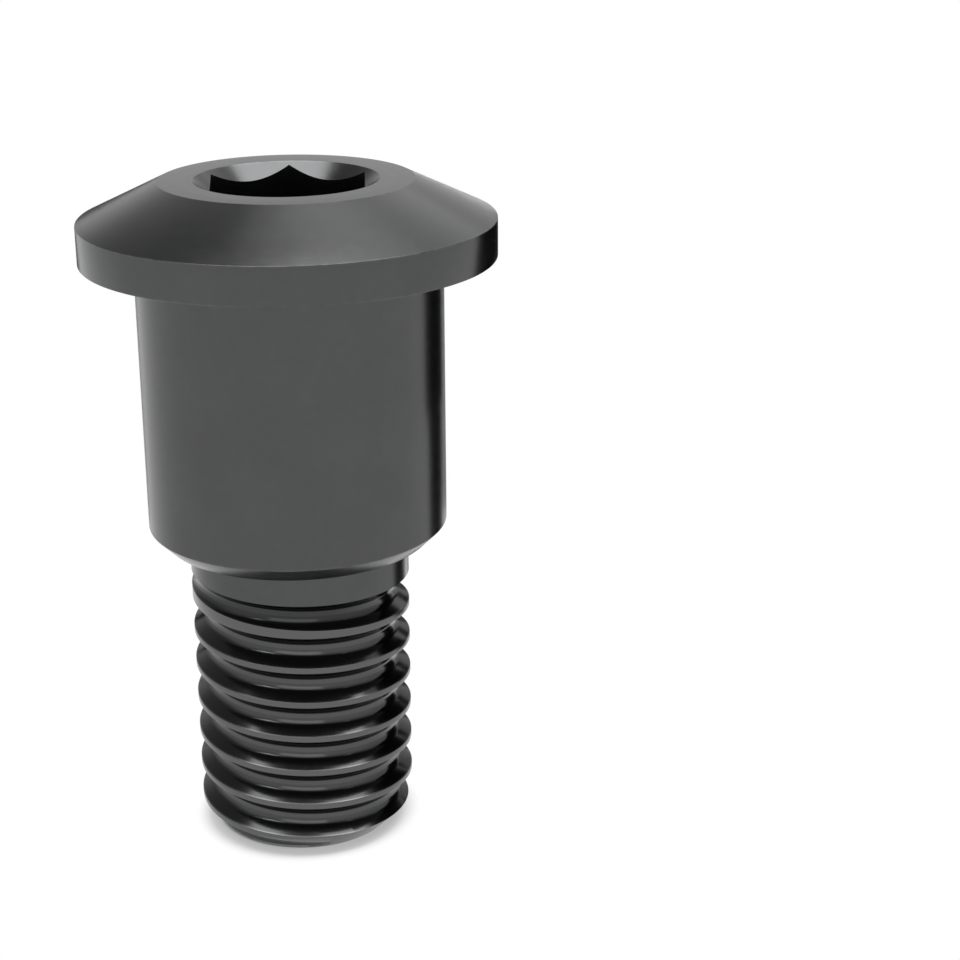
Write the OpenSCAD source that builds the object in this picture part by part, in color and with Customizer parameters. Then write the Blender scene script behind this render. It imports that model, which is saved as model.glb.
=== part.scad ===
// Shoulder screw with a low conical head, a hex socket and a left-hand thread.
// Turned in one piece; stands on its threaded end, axis along +Z, in millimetres.

/* [Head] */
// head diameter over the rim
head_d = 10.8; // [9.6:0.1:16]
// height of the straight rim
rim_h = 0.99; // [0.3:0.01:1.4]
// head height from bearing face to flat top
head_h = 2.0; // [1.5:0.05:5]
// diameter of the flat top
top_d = 6.58; // [5.6:0.02:8]

/* [Socket] */
// width across the flats of the hex socket
socket_af = 4.0; // [2.5:0.1:4]
// diameter of the lead-in cone at the flat top
lead_d = 4.8; // [4.7:0.02:5.4]
// depth of the hex below the flat top
socket_h = 2.6; // [1:0.1:5]

/* [Shoulder] */
// diameter of the plain shoulder
shoulder_d = 8.0; // [7.4:0.1:9]
// shoulder length below the head, chamfer included
shoulder_h = 7.63; // [3:0.01:30]
// chamfer of the shoulder, along the axis
chamfer_h = 0.42; // [0.1:0.02:0.8]
// chamfer of the shoulder, across the radius
chamfer_w = 0.42; // [0.1:0.02:0.5]

/* [Thread] */
// thread diameter over the crests
thread_d = 5.9; // [5.5:0.05:6]
// thread length from the shoulder to the tip, neck included
thread_h = 8.42; // [5:0.01:25]
// distance from one crest to the next
pitch = 1.0; // [0.75:0.05:1.25]
// width of the flat crest
crest_w = 0.155; // [0.1:0.005:0.2]
// radius of the rounded root
root_r = 0.3; // [0.15:0.01:0.4]
// angle between the two flanks of the groove
flank_angle = 60; // [55:1:60]
// distance from the shoulder to the middle of the first full groove
neck_h = 1.54; // [1.4:0.01:3]
// angle over which the first groove fades in
runout_angle = 225; // [90:5:300]
// direction of the full first groove, seen from above
start_angle = -16; // [-180:1:180]
// diameter of the flat end face
tip_d = 4.7; // [3.6:0.05:4.75]
// chamfer of the tip, along the axis
tip_h = 0.6; // [0.3:0.02:1.2]

/* [Hidden] */
eps = 0.02;
round_fn = 96;
turn_steps = 40;
root_steps = 6;
head_r = head_d / 2;
shoulder_r = shoulder_d / 2;
thread_r = thread_d / 2;
bearing_z = thread_h + shoulder_h;
top_z = bearing_z + head_h;
lead_depth = (lead_d - socket_af) / 2 + 0.05;
drill_r = socket_af * 0.46;
groove_half = (pitch - crest_w) / 2;
flank = flank_angle / 2;
root_arc = min(root_r, 0.9 * groove_half / cos(flank));
groove_depth = groove_half / tan(flank) - root_arc * (1 / sin(flank) - 1);
root_centre = thread_r - groove_depth + root_arc;
wall = 0.05;
wall_half = groove_half + wall * tan(flank);
clear_r = thread_r + 0.5;
groove_top = thread_h - neck_h;
fade_steps = round(runout_angle * turn_steps / 360);
cut_turns = (groove_top + pitch) / pitch;
ring_count = fade_steps + round(cut_turns * turn_steps);
section_size = root_steps + 5;

// outline of the turned blank from the tip up to the flat top
blank_outline = [
    [0, 0],
    [tip_d / 2, 0],
    [thread_r, tip_h],
    [thread_r, thread_h],
    [shoulder_r - chamfer_w, thread_h],
    [shoulder_r, thread_h + chamfer_h],
    [shoulder_r, bearing_z],
    [head_r, bearing_z],
    [head_r, bearing_z + rim_h],
    [top_d / 2, top_z],
    [0, top_z]
];

// one cross-section of the groove as radius and height, moved outward by shift
function root_point(k, shift) =
    let (a = (90 - flank) * (2 * k / root_steps - 1))
    [root_centre + shift - root_arc * cos(a), root_arc * sin(a)];

function groove_section(shift) = concat(
    [for (k = [0:root_steps]) root_point(k, shift)],
    [
        [thread_r + shift + wall, wall_half],
        [clear_r + shift, wall_half],
        [clear_r + shift, -wall_half],
        [thread_r + shift + wall, -wall_half]
    ]
);

// place a section point on the left-hand helix, falling as the angle grows
function on_helix(p, angle, z) = [p[0] * cos(angle), p[0] * sin(angle), z + p[1]];

function fade(i) = i >= fade_steps ? 0 : (groove_depth + eps) * (1 - i / fade_steps);

function helix_angle(i) = start_angle + (i - fade_steps) * 360 / turn_steps;

function helix_z(i) = groove_top - (i - fade_steps) * pitch / turn_steps;

module groove_cut() {
    points = [
        for (i = [0:ring_count])
            for (p = groove_section(fade(i)))
                on_helix(p, helix_angle(i), helix_z(i))
    ];
    n = section_size;
    side_faces = [
        for (i = [0:ring_count - 1])
            for (k = [0:n - 1])
                each [
                    [i * n + k, (i + 1) * n + k, (i + 1) * n + (k + 1) % n],
                    [i * n + k, (i + 1) * n + (k + 1) % n, i * n + (k + 1) % n]
                ]
    ];
    first_face = [[for (k = [0:n - 1]) k]];
    last_face = [[for (k = [n - 1:-1:0]) ring_count * n + k]];
    polyhedron(points, concat(side_faces, first_face, last_face), convexity = 10);
}

module blank() {
    rotate_extrude($fn = round_fn)
        polygon(blank_outline);
}

module socket_cut() {
    // the cone that leads the key in, at ninety degrees
    translate([0, 0, top_z - lead_depth])
        cylinder(h = lead_depth + eps, r1 = lead_d / 2 - lead_depth, r2 = lead_d / 2 + eps, $fn = round_fn);
    // the hex, one corner towards +Y
    translate([0, 0, top_z - socket_h])
        rotate([0, 0, 30])
            cylinder(h = socket_h + eps, d = socket_af / cos(30), $fn = 6);
    // the drill point under it
    translate([0, 0, top_z - socket_h - drill_r * tan(30)])
        cylinder(h = drill_r * tan(30) + eps, r1 = 0, r2 = drill_r, $fn = round_fn);
}

module shoulder_screw() {
    color([0.16, 0.16, 0.17])
        difference() {
            blank();
            socket_cut();
            groove_cut();
        }
}

shoulder_screw();
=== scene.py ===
"""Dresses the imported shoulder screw: fine mesh, black oxide finish, studio and camera."""
import logging
import math
from dataclasses import dataclass, field
from enum import Enum
from functools import reduce
from typing import Any, Iterable, NamedTuple, Optional, Sequence, Union

import bmesh
import bpy
from mathutils import Euler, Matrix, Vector


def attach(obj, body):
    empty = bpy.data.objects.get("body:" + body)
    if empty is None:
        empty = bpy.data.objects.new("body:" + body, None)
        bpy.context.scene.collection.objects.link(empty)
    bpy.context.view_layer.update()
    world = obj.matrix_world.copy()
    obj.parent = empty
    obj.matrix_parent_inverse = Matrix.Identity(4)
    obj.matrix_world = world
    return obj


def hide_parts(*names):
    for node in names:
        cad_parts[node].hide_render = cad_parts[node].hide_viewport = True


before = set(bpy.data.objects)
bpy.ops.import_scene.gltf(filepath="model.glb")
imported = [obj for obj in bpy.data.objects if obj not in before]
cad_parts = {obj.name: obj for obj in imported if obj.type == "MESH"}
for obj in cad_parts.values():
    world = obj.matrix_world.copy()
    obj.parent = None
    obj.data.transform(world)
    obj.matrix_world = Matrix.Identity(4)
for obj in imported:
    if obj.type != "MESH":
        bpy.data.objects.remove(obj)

LOG = logging.getLogger("shoulder_screw")
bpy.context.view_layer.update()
MM = 0.001
ORIGIN = (0.0, 0.0, 0.0)
WHITE = (1.0, 1.0, 1.0, 1.0)

Point = tuple[float, float]
Span = tuple[float, float]
Place = tuple[float, float, float]
Colour = tuple[float, float, float, float]
Ring = list[Place]
Term = Union[float, "Value"]


class MathStep(Enum):
    """Kinds of Math node that the finishes use."""

    ADD = "ADD"
    SUBTRACT = "SUBTRACT"
    MULTIPLY = "MULTIPLY"
    ROOT = "SQRT"
    LEAST = "MINIMUM"


class Ray(Enum):
    """Kinds of ray that a finish can tell apart."""

    CAMERA = "Is Camera Ray"
    GLOSSY = "Is Glossy Ray"
    TRANSMISSION = "Is Transmission Ray"


@dataclass(frozen=True)
class Value:
    """A number socket of a node tree that takes part in Python expressions."""

    sheet: "NodeSheet"
    socket: Any

    def _join(self, step: MathStep, *terms: Term) -> "Value":
        """Adds one Math node.

        Args:
            step: The node's operation.
            terms: Its inputs in order.

        Returns:
            The node's result.
        """
        return self.sheet.value("ShaderNodeMath", dict(enumerate(terms)), operation=step.value)

    def __add__(self, other: Term) -> "Value":
        """Sum."""
        return self._join(MathStep.ADD, self, other)

    __radd__ = __add__

    def __sub__(self, other: Term) -> "Value":
        """Difference."""
        return self._join(MathStep.SUBTRACT, self, other)

    def __rsub__(self, other: Term) -> "Value":
        """Difference with the number first."""
        return self._join(MathStep.SUBTRACT, other, self)

    def __mul__(self, other: Term) -> "Value":
        """Product."""
        return self._join(MathStep.MULTIPLY, self, other)

    __rmul__ = __mul__

    def root(self) -> "Value":
        """Square root."""
        return self._join(MathStep.ROOT, self)

    def at_most(self, other: Term) -> "Value":
        """The smaller of two values."""
        return self._join(MathStep.LEAST, self, other)

    def ramp(self, low: float, high: float) -> "Value":
        """Rises smoothly from 0 at low to 1 at high.

        Args:
            low: Input at which the result leaves 0.
            high: Input at which the result reaches 1.

        Returns:
            The eased value.
        """
        ends = {"Value": self, "From Min": low, "From Max": high}
        return self.sheet.value("ShaderNodeMapRange", ends, interpolation_type="SMOOTHSTEP", clamp=True)


@dataclass(frozen=True)
class NodeSheet:
    """The node tree of one material or world, filled node by node."""

    tree: Any

    def node(self, kind: str, inputs: Optional[dict[Any, Any]] = None, **settings: Any) -> Any:
        """Adds a node.

        Args:
            kind: The node's type.
            inputs: Socket name or index to a number, a tuple, a Value or an output socket.
            settings: Its properties, set before the inputs.

        Returns:
            The new node.
        """
        made = self.tree.nodes.new(kind)
        for name, setting in settings.items():
            setattr(made, name, setting)
        for key, given in (inputs or {}).items():
            socket = made.inputs[key]
            if isinstance(given, Value):
                self.tree.links.new(given.socket, socket)
            elif isinstance(given, bpy.types.NodeSocket):
                self.tree.links.new(given, socket)
            else:
                socket.default_value = given
        return made

    def value(self, kind: str, inputs: dict[Any, Any], out: Any = 0, **settings: Any) -> Value:
        """Adds a node and wraps one of its outputs.

        Args:
            kind: The node's type.
            inputs: Its inputs.
            out: Name or index of the output.
            settings: Its properties.

        Returns:
            That output as a Value.
        """
        return Value(self, self.node(kind, inputs, **settings).outputs[out])

    def place(self, space: str) -> Any:
        """The vector socket that gives the place, or the way of a ray, in a space."""
        return self.node("ShaderNodeTexCoord").outputs[space]

    def parts(self, vector: Any) -> tuple[Value, ...]:
        """Splits a vector.

        Args:
            vector: The vector socket.

        Returns:
            Its X, Y and Z.
        """
        split = self.node("ShaderNodeSeparateXYZ", {0: vector})
        return tuple(Value(self, split.outputs[i]) for i in range(3))

    def noise(self, at: Any, scale: float, detail: float) -> Value:
        """Noise between about 0 and 1.

        Args:
            at: Vector socket that gives the place.
            scale: Cells per unit of that vector.
            detail: Number of finer layers.

        Returns:
            The noise value.
        """
        return self.value("ShaderNodeTexNoise", {"Vector": at, "Scale": scale, "Detail": detail})

    def distance(self, at: Any, centre: Place) -> Value:
        """Measures from a point.

        Args:
            at: Vector socket that gives the place.
            centre: The point, in the same units.

        Returns:
            The distance.
        """
        return self.value("ShaderNodeVectorMath", {0: at, 1: centre}, "Value", operation="DISTANCE")

    def seen_by(self, rays: Iterable[Ray]) -> Value:
        """Tells rays of some kinds from all others.

        Args:
            rays: The kinds that count.

        Returns:
            1 for a ray of these kinds, and 0 for any other.
        """
        path = self.node("ShaderNodeLightPath")
        first, *others = (Value(self, path.outputs[ray.value]) for ray in rays)
        return sum(others, first).at_most(1.0)

    def shade(self, off: Any, on: Any, mask: Value) -> Any:
        """Mixes two colours, each a tuple or a socket.

        Args:
            off: Colour where the mask is 0.
            on: Colour where the mask is 1.
            mask: The mixing value.

        Returns:
            The colour socket.
        """
        factor, first, second, result = 0, 6, 7, 2
        mix = self.node("ShaderNodeMix", {factor: mask, first: off, second: on}, data_type="RGBA")
        return mix.outputs[result]

    def show(self, shader: Any, output: str = "ShaderNodeOutputMaterial") -> None:
        """Ends the tree with a shader.

        Args:
            shader: The node that is shown.
            output: Type of the output node.
        """
        self.node(output, {"Surface": shader.outputs[0]})


def new_material(name: str) -> tuple[bpy.types.Material, NodeSheet]:
    """Makes an empty material.

    Args:
        name: The material's name.

    Returns:
        The material and its sheet.
    """
    material = bpy.data.materials.new(name)
    material.use_nodes = True
    material.node_tree.nodes.clear()
    return material, NodeSheet(material.node_tree)


@dataclass(frozen=True)
class BlackOxide:
    """Blackened steel: dark satin skin, faint turning marks, rubbed edges and painted shade in the
    thread.

    Radii and heights are in millimetres and scales in cells per millimetre. Each span is the
    start and the end of a soft change.
    """

    body: Colour = (0.083, 0.084, 0.085, 1.0)
    pale: Colour = (0.092, 0.093, 0.094, 1.0)
    rubbed: Colour = (0.13, 0.13, 0.131, 1.0)
    # Darker colour of the thread flanks: painted shade in the grooves, which also dims their glints.
    flank: Colour = (0.052, 0.0525, 0.053, 1.0)
    cloud_scale: float = 0.55
    cloud_detail: float = 3.0
    cloud_span: Span = (0.35, 0.7)
    cloud_share: float = 0.6
    grain_scale: float = 4.0
    grain_detail: float = 2.0
    grain_span: Span = (0.3, 0.75)
    grain_share: float = 0.4
    ring_scale: float = 5.0
    ring_detail: float = 1.0
    edge_reach: float = 0.06
    edge_span: Span = (0.35, 0.6)
    edge_share: float = 0.5
    crest_radii: Span = (2.9, 2.94)
    crest_top: Span = (6.9, 7.4)
    crest_share: float = 0.75
    groove_top: Span = (8.3, 8.4)
    # Heights and radii where the painted flank shade begins.
    flank_shade_start: Span = (0.55, 0.65)
    flank_shade_radii: Span = (2.55, 2.64)
    roughness: float = 0.23
    roughness_swing: float = 0.04
    mean_noise: float = 1.5
    groove_polish: float = 0.08
    ring_marks: float = 0.7
    grain_marks: float = 0.3
    mark_height: float = 0.0000004

    def material(self, edges: Iterable[Point]) -> bpy.types.Material:
        """Makes the finish.

        Args:
            edges: Radius and height of each turned edge.

        Returns:
            The material.
        """
        material, sheet = new_material("blackened_steel")
        scaling = {0: sheet.place("Object"), "Scale": 1.0 / MM}
        point = sheet.node("ShaderNodeVectorMath", scaling, operation="SCALE").outputs[0]
        across, along, height = sheet.parts(point)
        radius = (across * across + along * along).root()

        cloud = sheet.noise(point, self.cloud_scale, self.cloud_detail)
        grain = sheet.noise(point, self.grain_scale, self.grain_detail)
        turned = sheet.node("ShaderNodeCombineXYZ", {"X": radius, "Z": height}).outputs[0]
        rings = sheet.noise(turned, self.ring_scale, self.ring_detail)

        clouds = cloud.ramp(*self.cloud_span) * self.cloud_share
        patches = clouds + grain.ramp(*self.grain_span) * self.grain_share
        crest = radius.ramp(*self.crest_radii)
        groove = (1.0 - crest) * (1.0 - height.ramp(*self.groove_top))
        # Painted shade: a mask over the thread flanks between root and crest, below the shoulder.
        flank_shade = groove * height.ramp(*self.flank_shade_start) * radius.ramp(*self.flank_shade_radii)
        worn = self.worn(radius, height, edges) * grain.ramp(*self.edge_span) * self.edge_share
        worn_crests = crest * self.crest_share * (1.0 - height.ramp(*self.crest_top))

        skin = sheet.shade(self.body, self.pale, patches)
        # Paints the flank shade: the flanks take the darker flank colour.
        skin = sheet.shade(skin, self.flank, flank_shade)
        skin = sheet.shade(skin, self.rubbed, worn + worn_crests)
        swing = self.roughness_swing * (cloud + grain + rings - self.mean_noise)
        marks = rings * self.ring_marks + grain * self.grain_marks
        relief = {"Strength": 1.0, "Distance": self.mark_height, "Height": marks}
        look = {
            "Base Color": skin,
            "Metallic": 1.0,
            "Roughness": self.roughness + swing - groove * self.groove_polish,
            "Normal": sheet.node("ShaderNodeBump", relief).outputs[0],
        }
        sheet.show(sheet.node("ShaderNodeBsdfPrincipled", look))
        return material

    def worn(self, radius: Value, height: Value, edges: Iterable[Point]) -> Value:
        """Marks what lies close to an edge.

        Args:
            radius: Distance from the axis.
            height: Height above the end face.
            edges: Radius and height of each edge.

        Returns:
            1 on an edge, falling to 0 at the edge's reach.
        """
        gaps = []
        for edge_radius, edge_height in edges:
            out, up = radius - edge_radius, height - edge_height
            gaps.append((out * out + up * up).root())
        return 1.0 - reduce(Value.at_most, gaps).ramp(0.0, self.edge_reach)


@dataclass(frozen=True)
class PaleFloor:
    """Matt pale board that the screw stands on, bleached to white further out.

    Lengths are in metres. The spans are distances over which the board whitens.
    """

    colour: Colour = (0.8, 0.8, 0.8, 1.0)
    roughness: float = 0.9
    near_white: float = 0.32
    contact_centre: Place = (-0.0001, 0.0001, 0.0)
    contact_span: Span = (0.00236, 0.00249)
    shadow_span: Span = (0.0027, 0.0032)

    def material(self) -> bpy.types.Material:
        """Makes the finish.

        Returns:
            The material.
        """
        material, sheet = new_material("pale_floor")
        coat = {"Base Color": self.colour, "Roughness": self.roughness, "Specular IOR Level": 0.0}
        paint = sheet.node("ShaderNodeBsdfPrincipled", coat)
        white = sheet.node("ShaderNodeEmission", {"Color": WHITE, "Strength": 1.0})
        place = sheet.place("Object")
        near = sheet.distance(place, self.contact_centre).ramp(*self.contact_span)
        far = sheet.distance(place, ORIGIN).ramp(*self.shadow_span)
        bleach = near * self.near_white + far * (1.0 - self.near_white)
        seen = sheet.seen_by((Ray.CAMERA, Ray.GLOSSY, Ray.TRANSMISSION))
        layers = {0: seen * bleach, 1: paint.outputs[0], 2: white.outputs[0]}
        sheet.show(sheet.node("ShaderNodeMixShader", layers))
        return material


@dataclass(frozen=True)
class CardPaint:
    """Flat grey of a studio card."""

    grey: float

    def material(self) -> bpy.types.Material:
        """Makes the finish.

        Returns:
            The material.
        """
        material, sheet = new_material("card_paint")
        colour = (self.grey, self.grey, self.grey, 1.0)
        sheet.show(sheet.node("ShaderNodeBsdfDiffuse", {"Color": colour}))
        return material


def link(name: str, data: Any) -> bpy.types.Object:
    """Puts a mesh, a lamp or a camera into the scene under a name.

    Args:
        name: The object's name.
        data: What the object holds.

    Returns:
        The object.
    """
    made = bpy.data.objects.new(name, data)
    bpy.context.scene.collection.objects.link(made)
    return made


def new_mesh(name: str, verts: Sequence[Place], faces: Sequence[Sequence[int]]) -> bpy.types.Mesh:
    """Makes a mesh.

    Args:
        name: The mesh's name.
        verts: Its points, in metres.
        faces: Its faces, as indices of points.

    Returns:
        The mesh.
    """
    mesh = bpy.data.meshes.new(name)
    mesh.from_pydata(verts, [], faces)
    return mesh


def ring_mesh(name: str, rings: Sequence[Ring]) -> bpy.types.Mesh:
    """Joins rings of equal length into one skin with capped ends.

    Args:
        name: The mesh's name.
        rings: The rings in order, in millimetres, each running clockwise about its way forward.

    Returns:
        The closed mesh, in metres.
    """
    size = len(rings[0])
    verts = [(x * MM, y * MM, z * MM) for ring in rings for x, y, z in ring]
    faces: list[tuple[int, ...]] = [tuple(reversed(range(size)))]
    for i in range(len(rings) - 1):
        here, there = i * size, (i + 1) * size
        for k in range(size):
            after = (k + 1) % size
            faces.append((here + k, here + after, there + after, there + k))
    faces.append(tuple(range((len(rings) - 1) * size, len(rings) * size)))
    return new_mesh(name, verts, faces)


def revolve(name: str, outline: Sequence[Point], steps: int) -> bpy.types.Mesh:
    """Turns an outline that starts and ends on the axis.

    Args:
        name: The mesh's name.
        outline: Radius and height of each point, in millimetres.
        steps: Facets round the axis.

    Returns:
        The closed mesh, in metres.
    """
    low, *middle, high = outline
    verts = [(0.0, 0.0, low[1] * MM), (0.0, 0.0, high[1] * MM)]
    for i in range(steps):
        angle = 2.0 * math.pi * i / steps
        turn = (math.cos(angle) * MM, math.sin(angle) * MM)
        verts += [(r * turn[0], r * turn[1], z * MM) for r, z in middle]
    size = len(middle)
    faces: list[tuple[int, ...]] = []
    for i in range(steps):
        here, there = 2 + i * size, 2 + ((i + 1) % steps) * size
        faces.append((0, there, here))
        faces += [(here + k, there + k, there + k + 1, here + k + 1) for k in range(size - 1)]
        faces.append((1, here + size - 1, there + size - 1))
    return new_mesh(name, verts, faces)


def rounded(outline: Sequence[Point], radius: float, keep: Iterable[int], steps: int) -> list[Point]:
    """Breaks the corners of an outline with small arcs.

    Args:
        outline: The corners, in millimetres.
        radius: Radius of each arc.
        keep: Indices of corners that stay sharp, besides both ends.
        steps: Segments of each arc.

    Returns:
        The outline with its arcs.
    """
    sharp = {0, len(outline) - 1, *keep}
    out: list[Point] = []
    for i, corner in enumerate(outline):
        if i in sharp:
            out.append(corner)
            continue
        here = Vector(corner)
        back = (Vector(outline[i - 1]) - here).normalized()
        ahead = (Vector(outline[i + 1]) - here).normalized()
        half = 0.5 * back.angle(ahead)
        middle = here + (back + ahead).normalized() * (radius / math.sin(half))
        start = here + back * (radius / math.tan(half)) - middle
        end = here + ahead * (radius / math.tan(half)) - middle
        for k in range(steps + 1):
            arm = start.lerp(end, k / steps).normalized() * radius
            out.append((middle.x + arm.x, middle.y + arm.y))
    return out


@dataclass(frozen=True)
class HexSocket:
    """The driven recess: lead-in cone, hex and drill point.

    Lengths are in millimetres and angles in degrees. The cutters overlap by lap and stand
    over the face that they cut by over.
    """

    across_flats: float = 4.0
    lead_width: float = 4.8
    depth: float = 2.6
    sides: int = 6
    first_corner: float = 30.0
    corner_step: float = 60.0
    drill_share: float = 0.46
    drill_slope: float = 30.0
    lap: float = 0.05
    over: float = 0.3
    steps: int = 192

    def cone_mesh(self, top: float) -> bpy.types.Mesh:
        """Cutter of the lead-in cone.

        Args:
            top: Height of the flat top.

        Returns:
            The cutter's mesh.
        """
        inner = self.across_flats / 2 - self.lap
        outer = self.lead_width / 2
        outline = [
            (0.0, top - (outer - inner)),
            (inner, top - (outer - inner)),
            (outer + self.over, top + self.over),
            (0.0, top + self.over),
        ]
        return revolve("lead_in", outline, self.steps)

    def hex_mesh(self, top: float) -> bpy.types.Mesh:
        """Cutter of the hex.

        Args:
            top: Height of the flat top.

        Returns:
            The cutter's mesh.
        """
        reach = self.across_flats / 2 / math.cos(math.radians(self.corner_step / 2))
        turns = [math.radians(self.first_corner + self.corner_step * k) for k in range(self.sides)]
        rings = []
        for height in (top - self.depth, top + self.over):
            rings.append([(reach * math.cos(turn), reach * math.sin(turn), height) for turn in turns])
        return ring_mesh("hex", rings)

    def drill_mesh(self, top: float) -> bpy.types.Mesh:
        """Cutter of the drill point under the hex.

        Args:
            top: Height of the flat top.

        Returns:
            The cutter's mesh.
        """
        radius = self.across_flats * self.drill_share
        floor = top - self.depth
        tip = floor - radius * math.tan(math.radians(self.drill_slope))
        outline = [(0.0, tip), (radius, floor), (radius, floor + self.over), (0.0, floor + self.over)]
        return revolve("drill_point", outline, self.steps)


@dataclass(frozen=True)
class ThreadGroove:
    """The left-hand helical groove with its fade-in under the shoulder.

    Lengths are in millimetres. Where the groove meets a crest, a small arc breaks the corner,
    and from its end the cutter runs on past the crest.
    """

    crest_radius: float = 2.95
    pitch: float = 1.0
    crest_width: float = 0.155
    root_radius: float = 0.3
    flank: float = math.radians(30)
    crest_break: float = 0.014
    break_end: float = math.radians(18)
    run_on: float = 0.01
    over: float = 0.5
    full_height: float = 6.88
    full_angle: float = math.radians(-16)
    fade_turn: float = 225 / 360
    fade_over: float = 0.02
    turn_steps: int = 192
    root_steps: int = 12
    break_steps: int = 3

    def depth(self) -> float:
        """Depth of the full groove."""
        half = (self.pitch - self.crest_width) / 2
        return half / math.tan(self.flank) - self.root_radius * (1 / math.sin(self.flank) - 1)

    def section(self) -> list[Point]:
        """One cross-section, as radius and height above the middle of the groove.

        Returns:
            The closed section, from its low flank through the root to its high flank.
        """
        half = (self.pitch - self.crest_width) / 2
        centre = self.crest_radius - self.depth() + self.root_radius
        span = math.pi / 2 - self.flank
        root = []
        for k in range(self.root_steps + 1):
            angle = span * (2 * k / self.root_steps - 1)
            root.append((centre - self.root_radius * math.cos(angle), self.root_radius * math.sin(angle)))
        bend = self.crest_break
        middle = (self.crest_radius - bend, half + bend * math.tan(self.flank))
        first = -math.pi / 2 + self.flank
        shoulder = []
        for k in range(self.break_steps + 1):
            angle = first + (-self.break_end - first) * k / self.break_steps
            shoulder.append((middle[0] + bend * math.cos(angle), middle[1] + bend * math.sin(angle)))
        last = shoulder[-1]
        shoulder.append((last[0] + self.run_on, last[1] + self.run_on / math.tan(self.break_end)))
        shoulder.append((self.crest_radius + self.over, shoulder[-1][1]))
        mirrored = [(r, -z) for r, z in reversed(shoulder)]
        return root + shoulder + mirrored

    def mesh(self) -> bpy.types.Mesh:
        """Sweeps the section down the screw.

        Returns:
            The cutter's mesh.
        """
        fade = round(self.fade_turn * self.turn_steps)
        turns = (self.full_height + self.pitch) / self.pitch
        count = fade + round(turns * self.turn_steps)
        section = self.section()
        rings = []
        for i in range(count + 1):
            step = i - fade
            shift = (self.depth() + self.fade_over) * max(0.0, -step / fade)
            angle = self.full_angle + 2 * math.pi * step / self.turn_steps
            height = self.full_height - self.pitch * step / self.turn_steps
            turn = (math.cos(angle), math.sin(angle))
            rings.append([((r + shift) * turn[0], (r + shift) * turn[1], height + z) for r, z in section])
        return ring_mesh("groove", rings)


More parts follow.
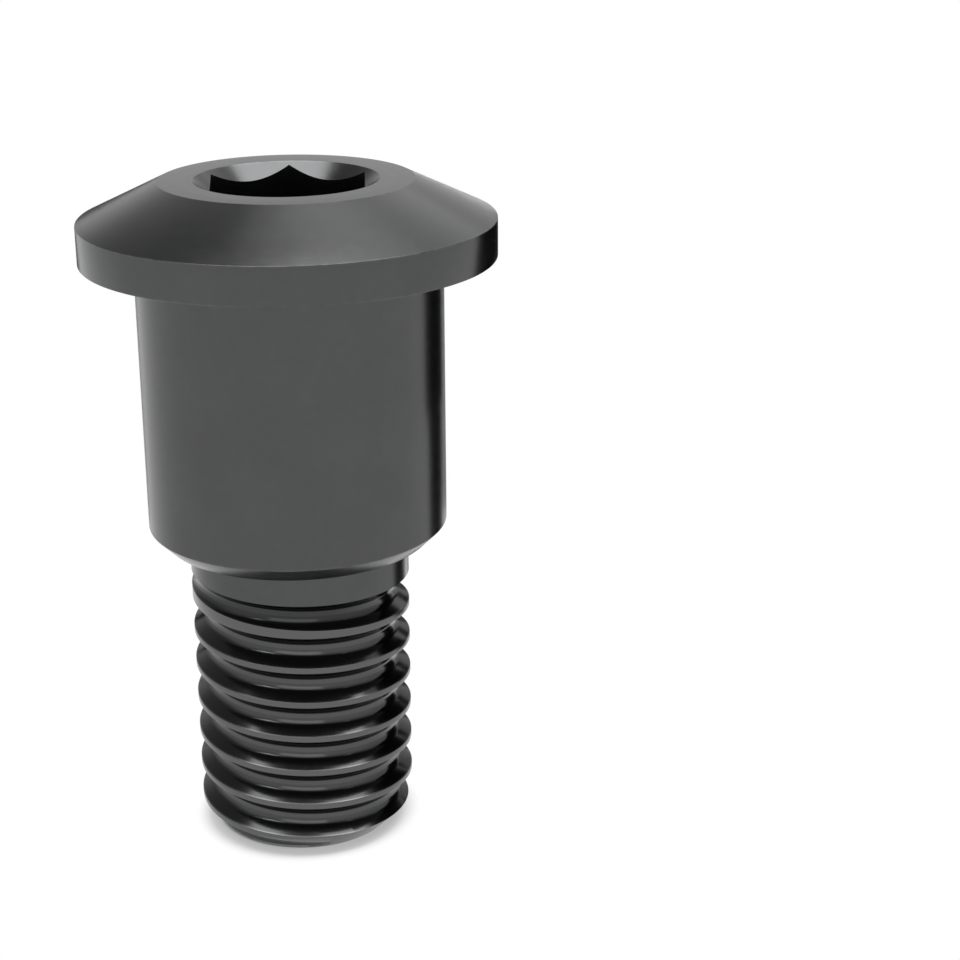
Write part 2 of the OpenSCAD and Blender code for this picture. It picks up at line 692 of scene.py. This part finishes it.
@dataclass(frozen=True)
class ShoulderScrew:
    """The whole screw, turned in one piece, in millimetres.

    The corners named by number are those of its outline, counted from the tip up.
    """

    head_radius: float = 5.4
    rim_height: float = 0.99
    head_height: float = 2.0
    top_radius: float = 3.29
    shoulder_radius: float = 4.0
    shoulder_height: float = 7.63
    chamfer_height: float = 0.42
    chamfer_width: float = 0.42
    thread_height: float = 8.42
    tip_radius: float = 2.35
    tip_height: float = 0.6
    inside_corners: tuple[int, ...] = (2, 3, 6)
    worn_corners: tuple[int, ...] = (1, 4, 5, 7, 8, 9)
    edge_break: float = 0.018
    break_steps: int = 3
    weld: float = 0.0008
    smooth_below: float = math.radians(24.0)
    face_weight: int = 80
    steps: int = 192
    socket: HexSocket = field(default_factory=HexSocket)
    groove: ThreadGroove = field(default_factory=ThreadGroove)
    finish: BlackOxide = field(default_factory=BlackOxide)

    def top(self) -> float:
        """Height of the flat top."""
        return self.thread_height + self.shoulder_height + self.head_height

    def outline(self) -> list[Point]:
        """Draws the turned blank.

        Returns:
            Its corners, from the tip up.
        """
        bearing = self.thread_height + self.shoulder_height
        crest = self.groove.crest_radius
        return [
            (0.0, 0.0),
            (self.tip_radius, 0.0),
            (crest, self.tip_height),
            (crest, self.thread_height),
            (self.shoulder_radius - self.chamfer_width, self.thread_height),
            (self.shoulder_radius, self.thread_height + self.chamfer_height),
            (self.shoulder_radius, bearing),
            (self.head_radius, bearing),
            (self.head_radius, bearing + self.rim_height),
            (self.top_radius, self.top()),
            (0.0, self.top()),
        ]

    def worn_edges(self) -> list[Point]:
        """Lists the turned edges that rub bright.

        Returns:
            Radius and height of each.
        """
        corners = self.outline()
        lead = (self.socket.lead_width / 2, self.top())
        return [corners[i] for i in self.worn_corners] + [lead]

    def build(self) -> bpy.types.Object:
        """Cuts the socket and the groove out of the blank and dresses the result.

        Returns:
            The finished piece.
        """
        blank = rounded(self.outline(), self.edge_break, self.inside_corners, self.break_steps)
        piece = link("screw_body", revolve("screw_body", blank, self.steps))
        cutters = [
            self.socket.cone_mesh(self.top()),
            self.socket.hex_mesh(self.top()),
            self.socket.drill_mesh(self.top()),
            self.groove.mesh(),
        ]
        for mesh in cutters:
            self.cut(piece, link(mesh.name + "_cutter", mesh))
        self.weld_points(piece.data)
        self.smooth(piece)
        piece.data.materials.clear()
        piece.data.materials.append(self.finish.material(self.worn_edges()))
        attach(piece, "root")
        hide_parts("shoulder_screw")
        return piece

    def cut(self, piece: bpy.types.Object, cutter: bpy.types.Object) -> None:
        """Takes the cutter out of the piece and removes the cutter.

        Args:
            piece: The object that is cut.
            cutter: The tool's shape.
        """
        step = piece.modifiers.new("cut", "BOOLEAN")
        step.operation = "DIFFERENCE"
        step.solver = "EXACT"
        step.object = cutter
        self.bake(piece)
        bpy.data.objects.remove(cutter)

    def bake(self, piece: bpy.types.Object) -> None:
        """Turns the piece's modifiers into its mesh.

        Args:
            piece: The piece with its modifiers.
        """
        depsgraph = bpy.context.evaluated_depsgraph_get()
        result = bpy.data.meshes.new_from_object(piece.evaluated_get(depsgraph))
        piece.modifiers.clear()
        old = piece.data
        piece.data = result
        bpy.data.meshes.remove(old)
        result.name = "screw_body"

    def weld_points(self, mesh: bpy.types.Mesh) -> None:
        """Joins the points that the cuts left closer together than a cutter could.

        Args:
            mesh: The cut mesh.
        """
        shape = bmesh.new()
        shape.from_mesh(mesh)
        bmesh.ops.remove_doubles(shape, verts=shape.verts, dist=self.weld * MM)
        bmesh.ops.dissolve_degenerate(shape, edges=shape.edges, dist=self.weld * MM)
        shape.to_mesh(mesh)
        shape.free()

    def smooth(self, piece: bpy.types.Object) -> None:
        """Shades the turned faces round, with sharp edges and flat wide faces.

        Args:
            piece: The cut piece.
        """
        piece.data.shade_smooth()
        piece.data.set_sharp_from_angle(angle=self.smooth_below)
        step = piece.modifiers.new("wide_faces_lead", "WEIGHTED_NORMAL")
        step.keep_sharp = True
        step.weight = self.face_weight
        self.bake(piece)


@dataclass(frozen=True)
class Panel:
    """One soft light panel of the studio, in metres."""

    name: str
    place: Place
    size: Point
    radiance: float
    aim: Place = (0.0, 0.0, 0.012)

    def build(self) -> None:
        """Hangs the panel, aimed at the screw."""
        data = bpy.data.lights.new(self.name, "AREA")
        data.shape = "RECTANGLE"
        data.size, data.size_y = self.size
        data.energy = math.pi * self.size[0] * self.size[1] * self.radiance
        lamp = link(self.name, data)
        lamp.location = self.place
        aim = Vector(self.aim) - Vector(self.place)
        lamp.rotation_euler = aim.to_track_quat("-Z", "Y").to_euler()
        lamp.visible_camera = False


class Strip(NamedTuple):
    """One level of a card: its heights and its reach to either side, in metres."""

    low: float
    high: float
    right: float
    left: float


@dataclass(frozen=True)
class Card:
    """An upright card of the studio, which only reflections see, in metres."""

    name: str
    centre: Point
    grey: float
    strips: tuple[Strip, ...]

    def mesh(self) -> bpy.types.Mesh:
        """Cuts the card's outline, square to the line from the screw.

        Returns:
            The mesh.
        """
        centre = Vector(self.centre)
        away = centre.normalized()
        side = Vector((-away.y, away.x))
        verts: list[Place] = []
        faces: list[tuple[int, ...]] = []
        for strip in self.strips:
            right, left = centre + side * -strip.right, centre + side * strip.left
            faces.append(tuple(range(len(verts), len(verts) + 4)))
            verts += [(right.x, right.y, strip.low), (left.x, left.y, strip.low)]
            verts += [(left.x, left.y, strip.high), (right.x, right.y, strip.high)]
        mesh = new_mesh(self.name, verts, faces)
        mesh.materials.append(CardPaint(self.grey).material())
        return mesh

    def build(self) -> None:
        """Stands the card up."""
        card = link(self.name, self.mesh())
        card.visible_camera = False
        card.visible_diffuse = False
        card.visible_shadow = False


@dataclass(frozen=True)
class Room:
    """Soft grey surroundings, darker above and behind on the left.

    Each span is the start and the end of a soft change along one part of a ray's way.
    """

    front: float = 0.75
    behind: float = 0.66
    above: float = 0.4
    left_shade: float = 0.5
    front_span: Span = (-0.2, 0.4)
    above_span: Span = (0.45, 0.9)
    shade_left: Span = (0.05, 0.6)
    shade_behind: Span = (-0.3, 0.3)
    shade_rise: Span = (0.2, 0.5)

    def build(self) -> None:
        """Makes the world's light."""
        world = bpy.data.worlds.new("room")
        bpy.context.scene.world = world
        world.use_nodes = True
        world.node_tree.nodes.clear()
        sheet = NodeSheet(world.node_tree)
        across, along, rise = sheet.parts(sheet.place("Generated"))
        low = self.behind + (0.0 - along).ramp(*self.front_span) * (self.front - self.behind)
        level = low + rise.ramp(*self.above_span) * (self.above - low)
        left_back = (0.0 - across).ramp(*self.shade_left) * along.ramp(*self.shade_behind)
        shade = left_back * rise.ramp(*self.shade_rise) * self.left_shade
        light = sheet.node("ShaderNodeBackground", {"Color": WHITE, "Strength": level * (1.0 - shade)})
        sheet.show(light, "ShaderNodeOutputWorld")


@dataclass(frozen=True)
class Studio:
    """Floor, surroundings, cards and light panels, in metres."""

    floor_reach: float = 3.0
    flag_spot: Point = (0.01182, 0.00696)
    right_spot: Point = (0.0095, 0.0235)
    left_spot: Point = (-0.0085, 0.0235)
    low_spot: Point = (0.0037, 0.0084)
    panels: tuple[Panel, ...] = (
        Panel("strip", (0.006, -0.027, 0.262), (0.37, 0.154), 4.1),
        Panel("side", (0.074, 0.139, 0.206), (0.2, 0.24), 0.56),
        Panel("glow", (0.038, 0.092, 0.19), (0.085, 0.06), 0.5),
        Panel("front", (0.0, -0.197, 0.172), (0.22, 0.13), 0.75),
    )

    def cards(self) -> list[Card]:
        """Lists the cards that shape the reflections.

        Returns:
            The cards: a black flag close by, greys behind for the shoulder, and what stands on
            them for the thread and the cone.
        """
        flag = (
            Strip(0.0, 0.0084, 0.003, 0.003),
            Strip(0.0084, 0.01605, 0.004, 0.0042),
            Strip(0.01605, 0.0181, 0.005, 0.007),
        )
        return [
            Card("flag", self.flag_spot, 0.01, flag),
            Card("right_card", self.right_spot, 0.4, (Strip(0.0, 0.0093, 0.008, 0.0075),)),
            Card("left_card", self.left_spot, 0.5, (Strip(0.0, 0.0093, 0.0078, 0.006),)),
            Card("right_board", self.right_spot, 0.03, (Strip(0.0093, 0.0126, 0.008, 0.0085),)),
            Card("right_sheet", self.right_spot, 0.85, (Strip(0.0126, 0.018, 0.008, 0.0085),)),
            Card("left_board", self.left_spot, 0.04, (Strip(0.0093, 0.018, 0.0078, 0.007),)),
            Card("low_card", self.low_spot, 0.12, (Strip(0.0, 0.0065, 0.0012, 0.0022),)),
        ]

    def build(self) -> None:
        """Sets up all of it."""
        self.floor()
        Room().build()
        for part in (*self.cards(), *self.panels):
            part.build()

    def floor(self) -> None:
        """Lays the floor under the screw."""
        reach = self.floor_reach
        corners = [(x * reach, y * reach, 0.0) for x, y in ((-1, -1), (1, -1), (1, 1), (-1, 1))]
        mesh = new_mesh("floor", corners, [(0, 1, 2, 3)])
        mesh.materials.append(PaleFloor().material())
        link("floor", mesh)


@dataclass(frozen=True)
class PhotoCamera:
    """The camera at the photograph's place, in metres, degrees and millimetres of lens."""

    place: Place = (0.00182566, -0.05125399, 0.02802967)
    turn: Place = (70.3962, 0.2211, -3.5314)
    lens: float = 75.57
    sensor: float = 36.0
    clip: Span = (0.001, 20.0)

    def build(self) -> None:
        """Makes it the scene's camera."""
        data = bpy.data.cameras.new("camera")
        data.lens = self.lens
        data.sensor_width = self.sensor
        data.clip_start, data.clip_end = self.clip
        camera = link("camera", data)
        camera.location = self.place
        camera.rotation_euler = Euler([math.radians(angle) for angle in self.turn], "XYZ")
        bpy.context.scene.camera = camera


def main() -> None:
    """Builds the screw, the studio and the camera, and reports each."""
    logging.basicConfig(level=logging.INFO, format="%(name)s: %(message)s")
    bpy.context.scene.view_settings.view_transform = "Standard"
    PhotoCamera().build()
    LOG.info("camera stands")
    piece = ShoulderScrew().build()
    LOG.info("%s has %d faces", piece.name, len(piece.data.polygons))
    Studio().build()
    LOG.info("studio is lit")


if __name__ == "__main__":
    main()
